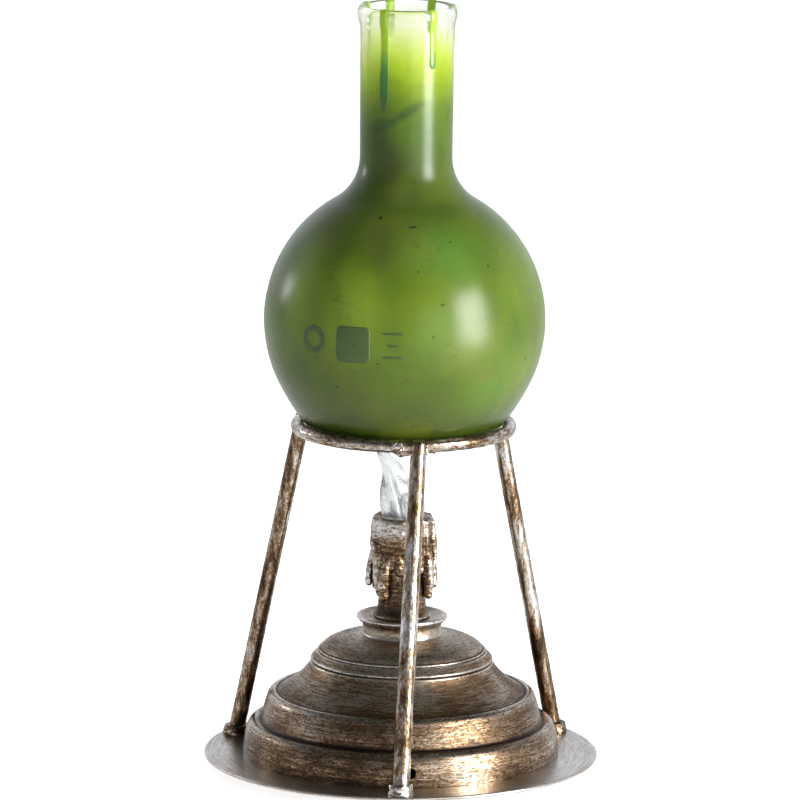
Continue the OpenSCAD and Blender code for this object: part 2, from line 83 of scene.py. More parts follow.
# Brightness of the surroundings
FRONT_LEVEL, BACK_LEVEL, TOP_LEVEL = 0.45, 1, 0.12
FLOOR_LEVEL, FLOOR_SEEN = 0.3, 0.75


# Outlines

def arc(centre, radius, start, end, count):
    """Points on an arc, angles in degrees from +radius towards +height."""
    angles = [math.radians(start + (end - start) * i / count) for i in range(count + 1)]
    return [(centre[0] + radius * math.cos(a), centre[1] + radius * math.sin(a)) for a in angles]


def curved(points, *curves):
    """The outline carried on with cubic curves: for each, two handles, an end and a count of points."""
    points = list(points)
    for *handles, count in curves:
        start = points[-1]
        for i in range(1, count + 1):
            t = i / count
            weights = ((1 - t) ** 3, 3 * t * (1 - t) ** 2, 3 * t * t * (1 - t), t ** 3)
            points.append(tuple(sum(w * p[k] for w, p in zip(weights, (start, *handles))) for k in (0, 1)))
    return points


def spaced(points, step):
    """The outline with long runs divided so that no step is longer than step."""
    out = [points[0]]
    for a, b in zip(points, points[1:]):
        parts = max(1, math.ceil(math.dist(a, b) / step))
        for i in range(1, parts + 1):
            out.append((a[0] + (b[0] - a[0]) * i / parts, a[1] + (b[1] - a[1]) * i / parts))
    return out


def softened(points, rounds):
    """The outline with its corners relaxed a little; its end points stay."""
    for _ in range(rounds):
        triples = zip(points, points[1:], points[2:])
        inner = [tuple((a[k] + 2 * b[k] + c[k]) / 4 for k in (0, 1)) for a, b, c in triples]
        points = [points[0], *inner, points[-1]]
    return points


def normals(points):
    """Unit normals of an outline: outwards, where it runs from the bottom up."""
    found = []
    for i in range(len(points)):
        a, b = points[max(i - 1, 0)], points[min(i + 1, len(points) - 1)]
        length = math.dist(a, b) or 1
        found.append(((b[1] - a[1]) / length, (a[0] - b[0]) / length))
    return found


def shifted(points, distance):
    """The outline moved outwards by distance, or inwards if it is negative."""
    return [(p[0] + distance * n[0], p[1] + distance * n[1]) for p, n in zip(points, normals(points))]


# Meshes

def place(radius, azimuth, height):
    """A point in metres from millimetres and degrees."""
    a = math.radians(azimuth)
    return Vector((radius * math.sin(a), -radius * math.cos(a), height)) * MM


def facing(azimuth):
    """Unit vectors away from the axis, and sideways to that."""
    a = math.radians(azimuth)
    return Vector((math.sin(a), -math.cos(a), 0)), Vector((math.cos(a), math.sin(a), 0))


def circle(sides):
    """Cosine and sine of each corner of a ring."""
    turns = [2 * math.pi * k / sides for k in range(sides)]
    return [(math.cos(turn), math.sin(turn)) for turn in turns]


def ring_faces(rows, sides, closed=False):
    """Quads between the rings of a tube, and two end caps unless it is closed on itself."""
    faces = []
    for i in range(rows if closed else rows - 1):
        for k in range(sides):
            a, b, m = i * sides, (i + 1) % rows * sides, (k + 1) % sides
            faces.append((a + k, a + m, b + m, b + k))
    if not closed:
        faces.append(tuple(reversed(range(sides))))
        faces.append(tuple(range((rows - 1) * sides, rows * sides)))
    return faces


def added(name, data):
    """A new object in the scene."""
    item = bpy.data.objects.new(name, data)
    bpy.context.collection.objects.link(item)
    return item


def make(name, verts, faces, material, edge=None, **facts):
    """A smooth closed mesh. edge is how worn each vertex is, and also how much painted highlight it gets;
    facts are for dress.
    """
    mesh = bpy.data.meshes.new(name)
    mesh.from_pydata([tuple(v) for v in verts], [], faces)
    mesh.validate()
    if edge is not None:
        layer = mesh.attributes.new("edge", "FLOAT", "POINT")
        layer.data.foreach_set("value", edge)
    mesh.shade_smooth()
    mesh.materials.append(material)
    piece = added(name, mesh)
    dress(piece, **facts)
    bm = bmesh.new()
    bm.from_mesh(mesh)
    bmesh.ops.recalc_face_normals(bm, faces=bm.faces)
    bm.to_mesh(mesh)
    bm.free()
    return piece


def dress(piece, body="stand", replaces=None, slot=None):
    """Declares a piece's body and the CAD node it stands for. slot is not used."""
    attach(piece, body)
    if replaces:
        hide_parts(replaces)


def wear_and_highlight_of(points):
    """How convex a closed outline is at each point: 1 on a sharp edge and -1 in a sharp groove."""
    raw = []
    for i in range(len(points)):
        a, b, c = points[i - 1], points[i], points[(i + 1) % len(points)]
        u = (b[0] - a[0], b[1] - a[1])
        v = (c[0] - b[0], c[1] - b[1])
        turn = math.atan2(u[0] * v[1] - u[1] * v[0], u[0] * v[0] + u[1] * v[1])
        raw.append(turn / max(0.15, (math.hypot(*u) + math.hypot(*v)) / 2))
    for _ in range(3):
        raw = [(raw[i - 1] + 2 * raw[i] + raw[(i + 1) % len(raw)]) / 4 for i in range(len(raw))]
    return [max(-1, min(1, r * 1.6)) for r in raw]


def lathe(name, points, segments, material, wobble=0.0, closed=True, **facts):
    """A turned piece from an outline. wobble is how far its wall strays from round."""
    least = 0.001  # a radius that keeps the corners on the axis apart
    verts = []
    for r, z in points:
        for k in range(segments):
            azimuth = 360 * k / segments
            spot = place(max(r, least), azimuth, z) / MM
            stray = wobble * noise.noise(Vector((spot.x * 0.06, spot.y * 0.06, spot.z * 0.09)))
            verts.append(place(max(r + stray * (r > 1), least), azimuth, z))
    edge = [value for value in wear_and_highlight_of(points) for _ in range(segments)]
    return make(name, verts, ring_faces(len(points), segments, closed), material, edge=edge, **facts)


def apply_modifiers(piece):
    """Turns the piece's modifiers into its mesh."""
    bpy.context.view_layer.objects.active = piece
    for item in bpy.context.selected_objects:
        item.select_set(False)
    piece.select_set(True)
    for modifier in list(piece.modifiers):
        bpy.ops.object.modifier_apply(modifier=modifier.name)


def carve(piece, cutter):
    """Cuts one closed mesh out of another, and removes the cutter."""
    cut = piece.modifiers.new("cut", "BOOLEAN")
    cut.object = cutter
    cut.solver = "EXACT"
    apply_modifiers(piece)
    bpy.data.objects.remove(cutter)
    piece.data.shade_smooth()


def balls(points, step=0.35):
    """(centre, radius) of spheres along a path of (azimuth, radius, height, size) points."""
    found = []
    for a, b in zip(points, points[1:]):
        start, end = (place(q[1], q[0], q[2]) / MM for q in (a, b))
        parts = max(1, math.ceil((end - start).length / (step * min(a[3], b[3]))))
        for i in range(parts + 1):
            t = i / parts
            found.append((start.lerp(end, t), a[3] + (b[3] - a[3]) * t))
    return found


def clustered(name, spheres, base):
    """One rough mesh of many spheres, and of a base's verts and faces if there is one."""
    bm = bmesh.new()
    for centre, size in spheres:
        matrix = Matrix.Translation(centre * MM) @ Matrix.Scale(size * MM, 4)
        bmesh.ops.create_icosphere(bm, subdivisions=2, radius=1, matrix=matrix)
    if base:
        verts = [bm.verts.new(v) for v in base[0]]
        for face in base[1]:
            bm.faces.new([verts[i] for i in face])
    bmesh.ops.recalc_face_normals(bm, faces=bm.faces)
    mesh = bpy.data.meshes.new(name)
    bm.to_mesh(mesh)
    bm.free()
    return added(name, mesh)


def fused(name, spheres, material, voxel, smooth, lump, scale, base=None, **facts):
    """One skin round spheres and a base. lump and scale are the height and fineness of its lumps."""
    piece = clustered(name, spheres, base)
    remesh = piece.modifiers.new("skin", "REMESH")
    remesh.mode = "VOXEL"
    remesh.voxel_size = voxel * MM
    remesh.use_smooth_shade = True
    relax = piece.modifiers.new("relax", "SMOOTH")
    relax.iterations = smooth
    relax.factor = 0.5
    apply_modifiers(piece)
    mesh = piece.data
    moved = []
    for v in mesh.vertices:
        rise = lump * noise.fractal(v.co / MM * scale, 1, 2, 3)
        moved.append(v.co + v.normal * rise * MM)
    for v, co in zip(mesh.vertices, moved):
        v.co = co
    mesh.materials.clear()
    mesh.materials.append(material)
    mesh.shade_smooth()
    dress(piece, **facts)


# Node trees

class Tree:
    """A short way to write the nodes of a material or the world. Values are numbers or sockets."""

    def __init__(self, owner, output="ShaderNodeOutputMaterial", source="Object", scale=1 / MM):
        owner.use_nodes = True
        self.owner = owner
        self.nodes = owner.node_tree.nodes
        self.links = owner.node_tree.links
        self.nodes.clear()
        self.out = self.nodes.new(output).inputs[0]
        place_of = self.nodes.new("ShaderNodeTexCoord").outputs[source]
        self.position = self.vector("SCALE", place_of, scale=scale)
        split = self.nodes.new("ShaderNodeSeparateXYZ")
        self.links.new(self.position, split.inputs[0])
        self.x, self.y, self.z = split.outputs

    def node(self, kind, inputs, output=0, **settings):
        """One output of a new node, made with these settings and inputs."""
        made = self.nodes.new(kind)
        for key, value in settings.items():
            setattr(made, key, value)
        for key, value in inputs.items():
            if isinstance(value, bpy.types.NodeSocket):
                self.links.new(value, made.inputs[key])
            elif value is not None:
                colour = made.inputs[key].type == "RGBA" and len(value) == 3
                made.inputs[key].default_value = (*value, 1) if colour else value
        return made.outputs[output]

    def vector(self, operation, a, b=None, scale=None):
        output = "Value" if operation in ("LENGTH", "DOT_PRODUCT") else 0
        inputs = {0: a, 1: b, "Scale": scale}
        return self.node("ShaderNodeVectorMath", inputs, output, operation=operation)

    def math(self, operation, a, b=None, clamp=False):
        return self.node("ShaderNodeMath", {0: a, 1: b}, operation=operation, use_clamp=clamp)

    def times(self, a, b):
        return self.math("MULTIPLY", a, b)

    def sum(self, first, *others):
        """All the values added up, in their order."""
        for other in others:
            first = self.math("ADD", first, other)
        return first

    def swing(self, noise, amount):
        """A noise made to vary round 0, by an amount."""
        return self.times(self.math("SUBTRACT", noise, 0.5), amount)

    def combine(self, x, y, z):
        return self.node("ShaderNodeCombineXYZ", {0: x, 1: y, 2: z})

    def moved(self, at, x, y, z):
        """Coordinates moved aside, for noise that differs."""
        return self.vector("ADD", at, (x, y, z))

    def stretched(self, at, x, y, z):
        return self.vector("MULTIPLY", at, (x, y, z))

    def noise(self, at, scale, detail=4.0, rough=0.55, bend=0.0, output=0):
        inputs = {"Vector": at, "Scale": scale, "Detail": detail, "Roughness": rough, "Distortion": bend}
        return self.node("ShaderNodeTexNoise", inputs, output)

    def fade(self, value, low, high, to_low=0.0, to_high=1.0):
        """value from low..high onto to_low..to_high, smooth at both ends."""
        inputs = dict(enumerate((value, low, high, to_low, to_high)))
        return self.node("ShaderNodeMapRange", inputs, interpolation_type="SMOOTHSTEP")

    def ramp(self, value, *stops, blend="LINEAR"):
        """A colour from a value, by (value, colour) stops."""
        colour = self.node("ShaderNodeValToRGB", {0: value})
        ramp = colour.node.color_ramp
        ramp.interpolation = blend
        while len(ramp.elements) < len(stops):
            ramp.elements.new(1)
        for element, (at, shade) in zip(ramp.elements, stops):
            element.position = at
            element.color = (*shade, 1)
        return colour

    def mix(self, share, a, b):
        """A colour between a and b."""
        return self.node("ShaderNodeMix", {0: share, 6: a, 7: b}, 2, data_type="RGBA")

    def between(self, share, a, b):
        """A number between a and b."""
        return self.node("ShaderNodeMix", {0: share, 2: a, 3: b})

    def bump(self, height, distance, strength):
        inputs = {"Strength": strength, "Distance": distance * MM, "Height": height}
        return self.node("ShaderNodeBump", inputs)

    def attribute(self, name):
        return self.node("ShaderNodeAttribute", {}, "Fac", attribute_name=name)

    def seen(self):
        """1 for what the camera sees, straight or through glass, and 0 for other light."""
        path = self.nodes.new("ShaderNodeLightPath").outputs
        return self.math("MAXIMUM", path["Is Camera Ray"], path["Is Transmission Ray"])

    def finish(self, kind="ShaderNodeBsdfPrincipled", **sockets):
        """Ends the tree in a shader with the given sockets."""
        inputs = {key.replace("_", " "): value for key, value in sockets.items()}
        self.links.new(self.node(kind, inputs), self.out)
        return self.owner

    def radius(self):
        return self.vector("LENGTH", self.combine(self.x, self.y, 0))

    def around(self, wide, tall):
        """Coordinates that follow the turning: wide is their speed round the axis, tall along the outline."""
        unit = self.vector("NORMALIZE", self.combine(self.x, self.y, 0))
        climb = self.math("SUBTRACT", self.z, self.times(self.radius(), 0.8))
        lift = self.combine(0, 0, self.times(climb, tall))
        return self.vector("ADD", self.vector("SCALE", unit, scale=wide), lift)

    def warped(self, scale, amount, detail=5.0):
        """The position, pushed about by noise, for ragged outlines."""
        push = self.noise(self.position, scale, detail, 0.65, output="Color")
        push = self.vector("SUBTRACT", push, (0.5, 0.5, 0.5))
        return self.vector("ADD", self.position, self.vector("SCALE", push, scale=amount))

    def spot(self, at, azimuth, height, wide, tall, tilt=0.0, soft=1.0):
        """1 in the middle of an oval spot on the flask, and 0 outside it."""
        away, side = facing(azimuth)
        lean = math.radians(tilt)
        long = side * math.cos(lean) + Vector((0, 0, math.sin(lean)))
        cross = Vector((0, 0, math.cos(lean))) - side * math.sin(lean)
        offset = self.vector("SUBTRACT", at, tuple(away * wall_radius(height) + Vector((0, 0, height))))
        axes = ((long, wide), (cross, tall), (away, SPOT_DEPTH))
        parts = [self.vector("DOT_PRODUCT", offset, tuple(axis / size)) for axis, size in axes]
        return self.fade(self.vector("LENGTH", self.combine(*parts)), 1, 1 - soft)


def paint(name):
    """The empty node tree of a new material."""
    return Tree(bpy.data.materials.new(name))


def wall_radius(height):
    """Outer radius of the flask: the neck's, or the bulb's where that is wider."""
    return max(NECK_R, math.sqrt(max(0, BULB_R ** 2 - (height - BULB_Z) ** 2)))


# Materials

def silvering(t, grain_at, streak_at, amounts, tone, calm, bright, proud):
    """How much silver is left on the brown. amounts are those of grain, streaks and drift. The grain fades
    between the heights in calm. bright holds two heights and what each adds; proud, two radii."""
    grain, streak, drift = amounts
    weight = t.fade(t.z, *calm, grain, grain * 0.3) if calm else grain
    parts = [t.swing(t.noise(grain_at(t), 1, 3, 0.75), weight),
             t.swing(t.noise(streak_at(t), 1, 5, 0.65, 0.3), streak),
             t.swing(t.noise(t.position, 0.045, 3, 0.5), drift),
             # convex edges lighter, partly as rubbed wear and partly as a painted highlight; grooves darker
             t.times(t.attribute("edge"), 0.26)]
    if bright:
        parts.append(t.fade(t.z, *bright))
    if proud:
        parts.append(t.fade(t.radius(), *proud, 0, 0.3))
    parts.append(t.fade(t.z, *calm, tone, tone + 0.12) if calm else tone)
    return t.math("ADD", t.sum(*parts), 0.5, clamp=True)


def antique(name, grain_at, streak_at, amounts, tone, rough, bump, calm=None, bright=None, proud=None,
            scratch=0.5, rust=0.55, specks=0, pale=((0.62, 0.59, 0.57), (0.87, 0.87, 0.9))):
    """Silver rubbed over brown. scratch, rust and specks are how strong its marks are, and pale its two
    lightest colours."""
    t = paint(name)
    level = silvering(t, grain_at, streak_at, amounts, tone, calm, bright, proud)
    colour = t.ramp(level, (0.1, (0.012, 0.009, 0.008)), (0.3, (0.062, 0.036, 0.019)),
                    (0.46, (0.215, 0.134, 0.07)), (0.58, (0.42, 0.345, 0.268)), (0.71, pale[0]),
                    (0.9, pale[1]))
    if specks:
        dots = t.fade(t.noise(t.moved(grain_at(t), 5, 21, 8), 0.75, 3, 0.7), 0.55, 0.61)
        colour = t.mix(t.times(dots, specks), colour, (0.034, 0.022, 0.015))
    stroke = t.fade(t.noise(t.moved(streak_at(t), 9, 4, 2), 1.7, 2, 0.5, 0.6), 0.6, 0.66)
    colour = t.mix(t.times(stroke, scratch), colour, (0.02, 0.02, 0.028))
    rusty = t.fade(t.noise(t.moved(t.position, 31, 7, 3), 0.17, 6, 0.75), 0.6, 0.68)
    colour = t.mix(t.times(rusty, rust), colour, (0.2, 0.08, 0.026))
    gloss = t.fade(level, 0.2, 0.8, rough + 0.16, rough - 0.06)
    if calm:
        gloss = t.sum(gloss, t.fade(t.z, *calm, 0, 0.12))
    return t.finish(Base_Color=colour, Metallic=t.fade(level, 0.1, 0.45, 0.8, 1), Roughness=gloss,
                    Normal=t.bump(level, 0.05, bump))


def scaled(x, y, z):
    """Coordinates stretched along the axes."""
    return lambda t: t.stretched(t.position, x, y, z)


def turned(wide, tall):
    """Coordinates that follow the turning."""
    return lambda t: t.around(wide, tall)


GREENS = (
    # share of the way up to the rim, and the colour there
    (0.02, (0.026, 0.042, 0.004)), (0.1, (0.036, 0.058, 0.005)), (0.17, (0.056, 0.094, 0.006)),
    (0.28, (0.104, 0.172, 0.008)), (0.4, (0.112, 0.185, 0.008)), (0.54, (0.074, 0.13, 0.01)),
    (0.64, (0.048, 0.08, 0.009)), (0.72, (0.078, 0.15, 0.01)), (0.79, (0.115, 0.23, 0.01)),
    (0.85, (0.47, 0.64, 0.008)), (0.89, (0.7, 0.83, 0.07)), (0.92, (0.86, 0.93, 0.46)),
    (0.97, (0.95, 0.97, 0.92)),
)
STAINS = (
    # azimuth, height, half width, half height, tilt, strength, colour
    (-20, 231, 12, 17, 0, 0.7, (0.034, 0.038, 0.012)),
    (-30, 246, 9, 4, 12, 0.55, (0.022, 0.075, 0.02)),
    (-4, 249, 13, 3.4, 30, 0.7, (0.03, 0.095, 0.022)),
    (-36, 238, 10, 16, 0, 0.5, (0.045, 0.07, 0.014)),
    (14, 222, 11, 10, 0, 0.35, (0.055, 0.085, 0.02)),
    (-13, 203, 5.5, 24, 4, 0.48, (0.056, 0.054, 0.012)),
    (-22, 181, 20, 26, 0, 0.8, (0.23, 0.35, 0.03)),
    (-47, 208, 10, 15, 20, 0.35, (0.11, 0.1, 0.02)),
    (-50, 186, 16, 28, 8, 0.85, (0.2, 0.3, 0.016)),
    (22, 201, 24, 17, 0, 0.55, (0.1, 0.235, 0.036)),
    (12, 176, 12, 22, 0, 0.45, (0.13, 0.26, 0.026)),
    (50, 170, 14, 18, 0, 0.72, (0.05, 0.115, 0.01)),
    (42, 150, 18, 16, 0, 0.5, (0.12, 0.24, 0.025)),
    (36, 157, 9, 5, -15, 0.35, (0.15, 0.12, 0.03)),
    (64, 172, 8, 20, 0, 0.5, (0.13, 0.15, 0.026)),
    (2, 141, 34, 12, 0, 0.45, (0.078, 0.096, 0.016)),
    (150, 205, 22, 16, 15, 0.5, (0.075, 0.06, 0.016)),
    (200, 180, 18, 22, 0, 0.6, (0.22, 0.29, 0.036)),
    (250, 160, 14, 12, -20, 0.5, (0.15, 0.13, 0.03)),
    (110, 165, 12, 20, 10, 0.4, (0.11, 0.27, 0.04)),
    (175, 236, 12, 16, 0, 0.5, (0.05, 0.055, 0.012)),
)
SPECKS = (
    # azimuth, height, half width, half height
    (-17.6, 212.8, 1.1, 0.7), (4.5, 210.2, 2.2, 0.5), (6.2, 195.6, 0.5, 0.5), (15.9, 184, 1.1, 0.45),
    (11.7, 172.6, 0.6, 0.6), (-10.8, 162.3, 0.8, 0.5), (1.8, 266.4, 0.5, 0.4), (25, 205, 0.6, 0.4),
    (42, 196, 0.5, 0.9), (-30, 152, 0.6, 0.5), (60, 160, 0.9, 0.4), (130, 190, 0.9, 0.5),
    (170, 175, 0.6, 0.6), (215, 200, 1.2, 0.5), (265, 180, 0.7, 0.6), (300, 165, 0.6, 0.4),
)


def stained(t, colour):
    """The large stains over a colour."""
    loose = t.warped(0.045, 10, 2)
    for *where, strength, tint in STAINS:
        colour = t.mix(t.times(t.spot(loose, *where), strength), colour, tint)
    return colour


def soiled(t, colour, low):
    """Weak smoke, warm patches and brushed dirt over a colour, where low is 1."""
    loose = t.warped(0.045, 10, 2)
    smoke = t.fade(t.noise(t.stretched(loose, 0.07, 0.07, 0.022), 1, 2), 0.42, 0.7, 0, 0.32)
    colour = t.mix(t.times(smoke, low), colour, (0.05, 0.085, 0.012))
    warm = t.fade(t.noise(t.moved(loose, 40, 11, 5), 0.045, 1), 0.45, 0.75, 0, 0.24)
    colour = t.mix(t.times(warm, low), colour, (0.19, 0.215, 0.018))
    smear = t.fade(t.noise(t.stretched(t.position, 0.35, 0.35, 0.9), 1, 4, 0.6), 0.5, 0.66)
    patch = t.fade(t.noise(t.moved(t.position, 3, 50, 9), 0.06, 3), 0.5, 0.66)
    dirt = t.times(smear, t.times(patch, low))
    return t.mix(t.times(dirt, 0.42), colour, (0.05, 0.042, 0.01))


def specked(t, colour):
    """Small dark specks over a colour."""
    close = t.warped(0.9, 0.8)
    for where in SPECKS:
        colour = t.mix(t.times(t.spot(close, *where, 0, 0.5), 0.8), colour, (0.014, 0.016, 0.008))
    return colour


def green_glass():
    """Frosted glass stained green: clear at the rim, then yellow-green, and smoky at the shoulder."""
    t = paint("stained_green_glass")
    height = t.sum(t.z, t.swing(t.noise(t.stretched(t.position, 0.05, 0.05, 0.03), 1, 0), 14))
    rise = t.math("DIVIDE", t.math("SUBTRACT", height, BULB_Z), RIM - BULB_Z)
    share = t.math("MULTIPLY", t.sum(rise, 0.5), 1 / 1.5, clamp=True)
    colour = t.ramp(share, *GREENS, blend="B_SPLINE")
    colour = soiled(t, stained(t, colour), t.fade(share, 0.66, 0.9, 1, 0))
    return t.finish(Base_Color=specked(t, colour), Roughness=t.fade(share, 0.78, 1, 0.27, 0.1),
                    Transmission_Weight=t.fade(share, 0.64, 1, 0.2, 0.94), IOR=1.45,
                    Specular_IOR_Level=0.36, Normal=t.bump(t.noise(t.position, 1.1, 3), 0.02, 0.25))


def drip_glass():
    """Thick glossy drips, yellow-green above and dark below."""
    t = paint("green_drips")
    depth = t.math("DIVIDE", t.math("SUBTRACT", RIM, t.z), 40, clamp=True)
    colour = t.ramp(depth, (0, (0.5, 0.72, 0.06)), (0.34, (0.46, 0.68, 0.03)),
                    (0.55, (0.09, 0.28, 0.05)), (1, (0.03, 0.08, 0.02)))
    colour = t.mix(t.times(t.noise(t.position, 0.8, 3), 0.3), colour, (0.2, 0.42, 0.1))
    return t.finish(Base_Color=colour, Roughness=0.16, Transmission_Weight=0.45, IOR=1.4)


def plain(name, colour, rough, grain=2.0, depth=0.02, vary=0.2, **sockets):
    """A material with slight variation in colour and gloss, and a fine grain."""
    t = paint(name)
    spread = t.noise(t.position, 0.35, 4, 0.6)
    dark = tuple(c * (1 - vary) for c in colour)
    light = tuple(min(1, c * (1 + vary)) for c in colour)
    tint = t.ramp(spread, (0.3, dark), (0.7, light))
    gloss = t.fade(t.noise(t.position, 1.3, 3), 0.3, 0.7, rough - 0.06, rough + 0.06)
    relief = t.bump(t.noise(t.position, grain, 3, 0.7), depth, 0.5)
    return t.finish(Base_Color=tint, Roughness=gloss, Normal=relief, **sockets)


def cell_jacket():
    """A plain two-tone jacket with bare steel at the cell's cap."""
    t = paint("cell_jacket")
    band = t.fade(t.math("ABSOLUTE", t.x), 12, 12.3)
    tint = t.mix(band, (0.02, 0.02, 0.025), (0.42, 0.27, 0.1))
    bare = t.fade(t.math("ABSOLUTE", t.x), 24.4, 24.6)
    tint = t.mix(bare, tint, (0.6, 0.6, 0.58))
    scuff = t.noise(t.position, 0.8, 4)
    tint = t.mix(t.times(scuff, 0.2), tint, (0.25, 0.25, 0.25))
    return t.finish(Base_Color=tint, Metallic=bare, Roughness=t.fade(scuff, 0.3, 0.7, 0.22, 0.38))


SILVER_SPUN = antique(
    "antique_silver_spun", turned(42, 1.7), turned(5, 1.2), (0.8, 0.75, 0.6), tone=-0.1, rough=0.26,
    bump=0.22, calm=(PLATE_TOP + 22, PLATE_TOP + 26), bright=(PLATE_TOP + 44.5, PLATE_TOP + 46, 0, 0.17),
    specks=0.85, pale=((0.5, 0.43, 0.36), (0.68, 0.64, 0.6)))
SILVER_PLATE = antique(
    "antique_silver_plate", turned(40, 1.5), turned(5, 2), (0.3, 0.55, 0.25), tone=0.16, rough=0.34,
    bump=0.3, scratch=0.25, rust=0.2)
SILVER_ROD = antique(
    "antique_silver_rod", scaled(1.5, 1.5, 0.8), scaled(0.45, 0.45, 0.1), (0.75, 1.2, 0.7), tone=0.05,
    rough=0.2, bump=0.35, bright=(PLATE_TOP + 15, PLATE_TOP + 60, -0.12, 0))
SILVER_RING = antique(
    "antique_silver_ring", scaled(1.4, 1.4, 1.4), scaled(0.35, 0.35, 1), (0.8, 1.2, 0.8), tone=0.03,
    rough=0.22, bump=0.4)
CANDLE_PAINT = antique(
    "antique_candle", scaled(0.8, 0.8, 1.3), scaled(0.16, 0.16, 1.3), (0.8, 0.9, 1), tone=-0.14, rough=0.33,
    bump=0.6, bright=(PLATE_TOP + 80, PLATE_TOP + 86, 0, 0.28), proud=(11.4, 13))
PRINT = plain("frosted_print", (0.046, 0.085, 0.016), 0.5, grain=3, depth=0.02, vary=0.12)
PALE_PRINT = plain("faded_print", (0.03, 0.06, 0.008), 0.5, grain=3, depth=0.02, vary=0.15)
GLASS = green_glass()
DRIPS = drip_glass()
FLAME = plain("clear_flame", (0.8, 0.825, 0.82), 0.22, grain=0.6, depth=0.03, vary=0.02,
              Transmission_Weight=0.74, IOR=1.4)

for material, nodes in (
    (SILVER_PLATE, "base_plate"),
    (plain("smoked_lamp", (0.16, 0.15, 0.12), 0.12, Transmission_Weight=0.4), "led"),
    (plain("black_rubber", (0.03, 0.03, 0.03), 0.75, grain=3, depth=0.04),
     "foot_pad_1 foot_pad_2 foot_pad_3 foot_pad_4"),
    (plain("black_plastic", (0.035, 0.035, 0.037), 0.5, grain=5, depth=0.03),
     "battery_box battery_door switch_body"),
    (plain("grey_plastic", (0.55, 0.55, 0.54), 0.42, grain=5), "switch_slider"),
    (plain("white_plastic", (0.8, 0.8, 0.76), 0.4, grain=4), "led_holder"),
    (plain("zinc_plate", (0.62, 0.63, 0.66), 0.34, Metallic=1),
     "cover_screws cover_nuts box_screws stem_washer stem_nut"),
    (plain("brass", (0.7, 0.52, 0.24), 0.33, Metallic=1), "stem_tube"),
    (plain("nickel", (0.72, 0.7, 0.66), 0.25, Metallic=1),
     "contact_spring_1 contact_spring_2 contact_bridge contact_tags"),
    (plain("red_insulation", (0.5, 0.035, 0.025), 0.45), "lead_positive"),
    (plain("black_insulation", (0.025, 0.025, 0.025), 0.45), "lead_negative lead_switch"),
    (cell_jacket(), "battery_1 battery_2"),
):
    for node in nodes.split():
        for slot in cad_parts[node].material_slots:
            slot.material = material


# Flask

def flask_outer():
    """The outside of the flask, from the middle of its bottom to the bead at the rim."""
    seat_angle, seat_r, heel_r, shoulder_r = 26, 85, 12, 19
    tilt = math.radians(seat_angle)
    seat = (-(seat_r - BULB_R) * math.cos(tilt), BULB_Z + (seat_r - BULB_R) * math.sin(tilt))
    rise = FLASK_BOTTOM + heel_r - seat[1]
    heel = (seat[0] + math.sqrt((seat_r - heel_r) ** 2 - rise ** 2), FLASK_BOTTOM + heel_r)
    heel_angle = math.degrees(math.atan2(heel[1] - seat[1], heel[0] - seat[0]))
    reach = NECK_R + shoulder_r
    join = math.sqrt((BULB_R + shoulder_r) ** 2 - reach ** 2)
    join_angle = math.degrees(math.atan2(join, reach))
    points = [(0, FLASK_BOTTOM)]
    points += arc(heel, heel_r, -90, heel_angle, 12)
    points += arc(seat, seat_r, heel_angle + 1, -seat_angle, 12)
    points += arc((0, BULB_Z), BULB_R, 1 - seat_angle, join_angle, 60)
    points += arc((reach, BULB_Z + join), shoulder_r, 178 + join_angle, 180, 20)
    points += [(NECK_R + 0.1, RIM - 35), (NECK_R + 0.25, RIM - 9)]
    return curved(
        points,
        ((NECK_R + 0.3, RIM - 6), (NECK_R + 1.3, RIM - 5.2), (NECK_R + 1.2, RIM - 2.6), 10),
        ((NECK_R + 1.1, RIM - 1), (NECK_R + 0.6, RIM), (NECK_R - 0.3, RIM), 8))


def lip():
    """The round inner edge of the mouth, from the rim down into the bore."""
    return curved([(NECK_R - 0.3, RIM)], ((BORE + 0.6, RIM), (BORE, RIM - 0.4), (BORE, RIM - 1.6), 6))


def make_flask():
    """The glass, with an even wall and an open mouth."""
    outer = flask_outer()
    side = [(max(r, BORE) if z > BULB_Z else r, z) for r, z in shifted(outer[1:-20], -WALL)]
    inside = [lip()[-1], *reversed(side)]
    points = spaced(outer, 1.2) + spaced(lip(), 0.6)[1:] + spaced(inside, 1.4)[1:]
    points.append((0, FLASK_BOTTOM + WALL))
    lathe("flask_glass", points, 160, GLASS, wobble=0.12, closed=False, body="flask", replaces="flask",
          slot="green_glass")


make_flask()


# Marks and drips on the flask

def on_bulb(azimuth, height, across, up, lift):
    """A point on the bulb, across and up along its surface from a centre."""
    tall = math.asin((height - BULB_Z) / BULB_R) + up / BULB_R
    wide = azimuth + math.degrees(across / (BULB_R * math.cos(tall)))
    reach = BULB_R + lift
    return place(reach * math.cos(tall), wide, BULB_Z + reach * math.sin(tall))


def mark(name, azimuth, height, outline, material, inner=0.0):
    """A thin print on the bulb. inner is the share of the outline that is left out of its middle."""
    layers, front, back = 10, 0.05, -0.15
    outline = spaced([*outline, outline[0]], 0.7)[:-1]
    shares = [inner + (1 - inner) * i / layers for i in range(layers + 1)]
    if not inner:
        shares[0] = 0.02
    rows = [(share, front) for share in shares] + [(share, back) for share in reversed(shares)]
    verts = [on_bulb(azimuth, height, u * share, v * share, lift) for share, lift in rows for u, v in outline]
    faces = ring_faces(len(rows), len(outline), closed=True)
    make(name, verts, faces, material, body="flask", slot="green_glass")


def rounded_box(width, height, corner, count=8):
    """Outline of a rectangle with round corners, centred on the origin."""
    points = []
    for k, (sx, sy) in enumerate(((1, 1), (-1, 1), (-1, -1), (1, -1))):
        centre = (sx * (width / 2 - corner), sy * (height / 2 - corner))
        points += arc(centre, corner, 90 * k, 90 * k + 90, count)
    return points


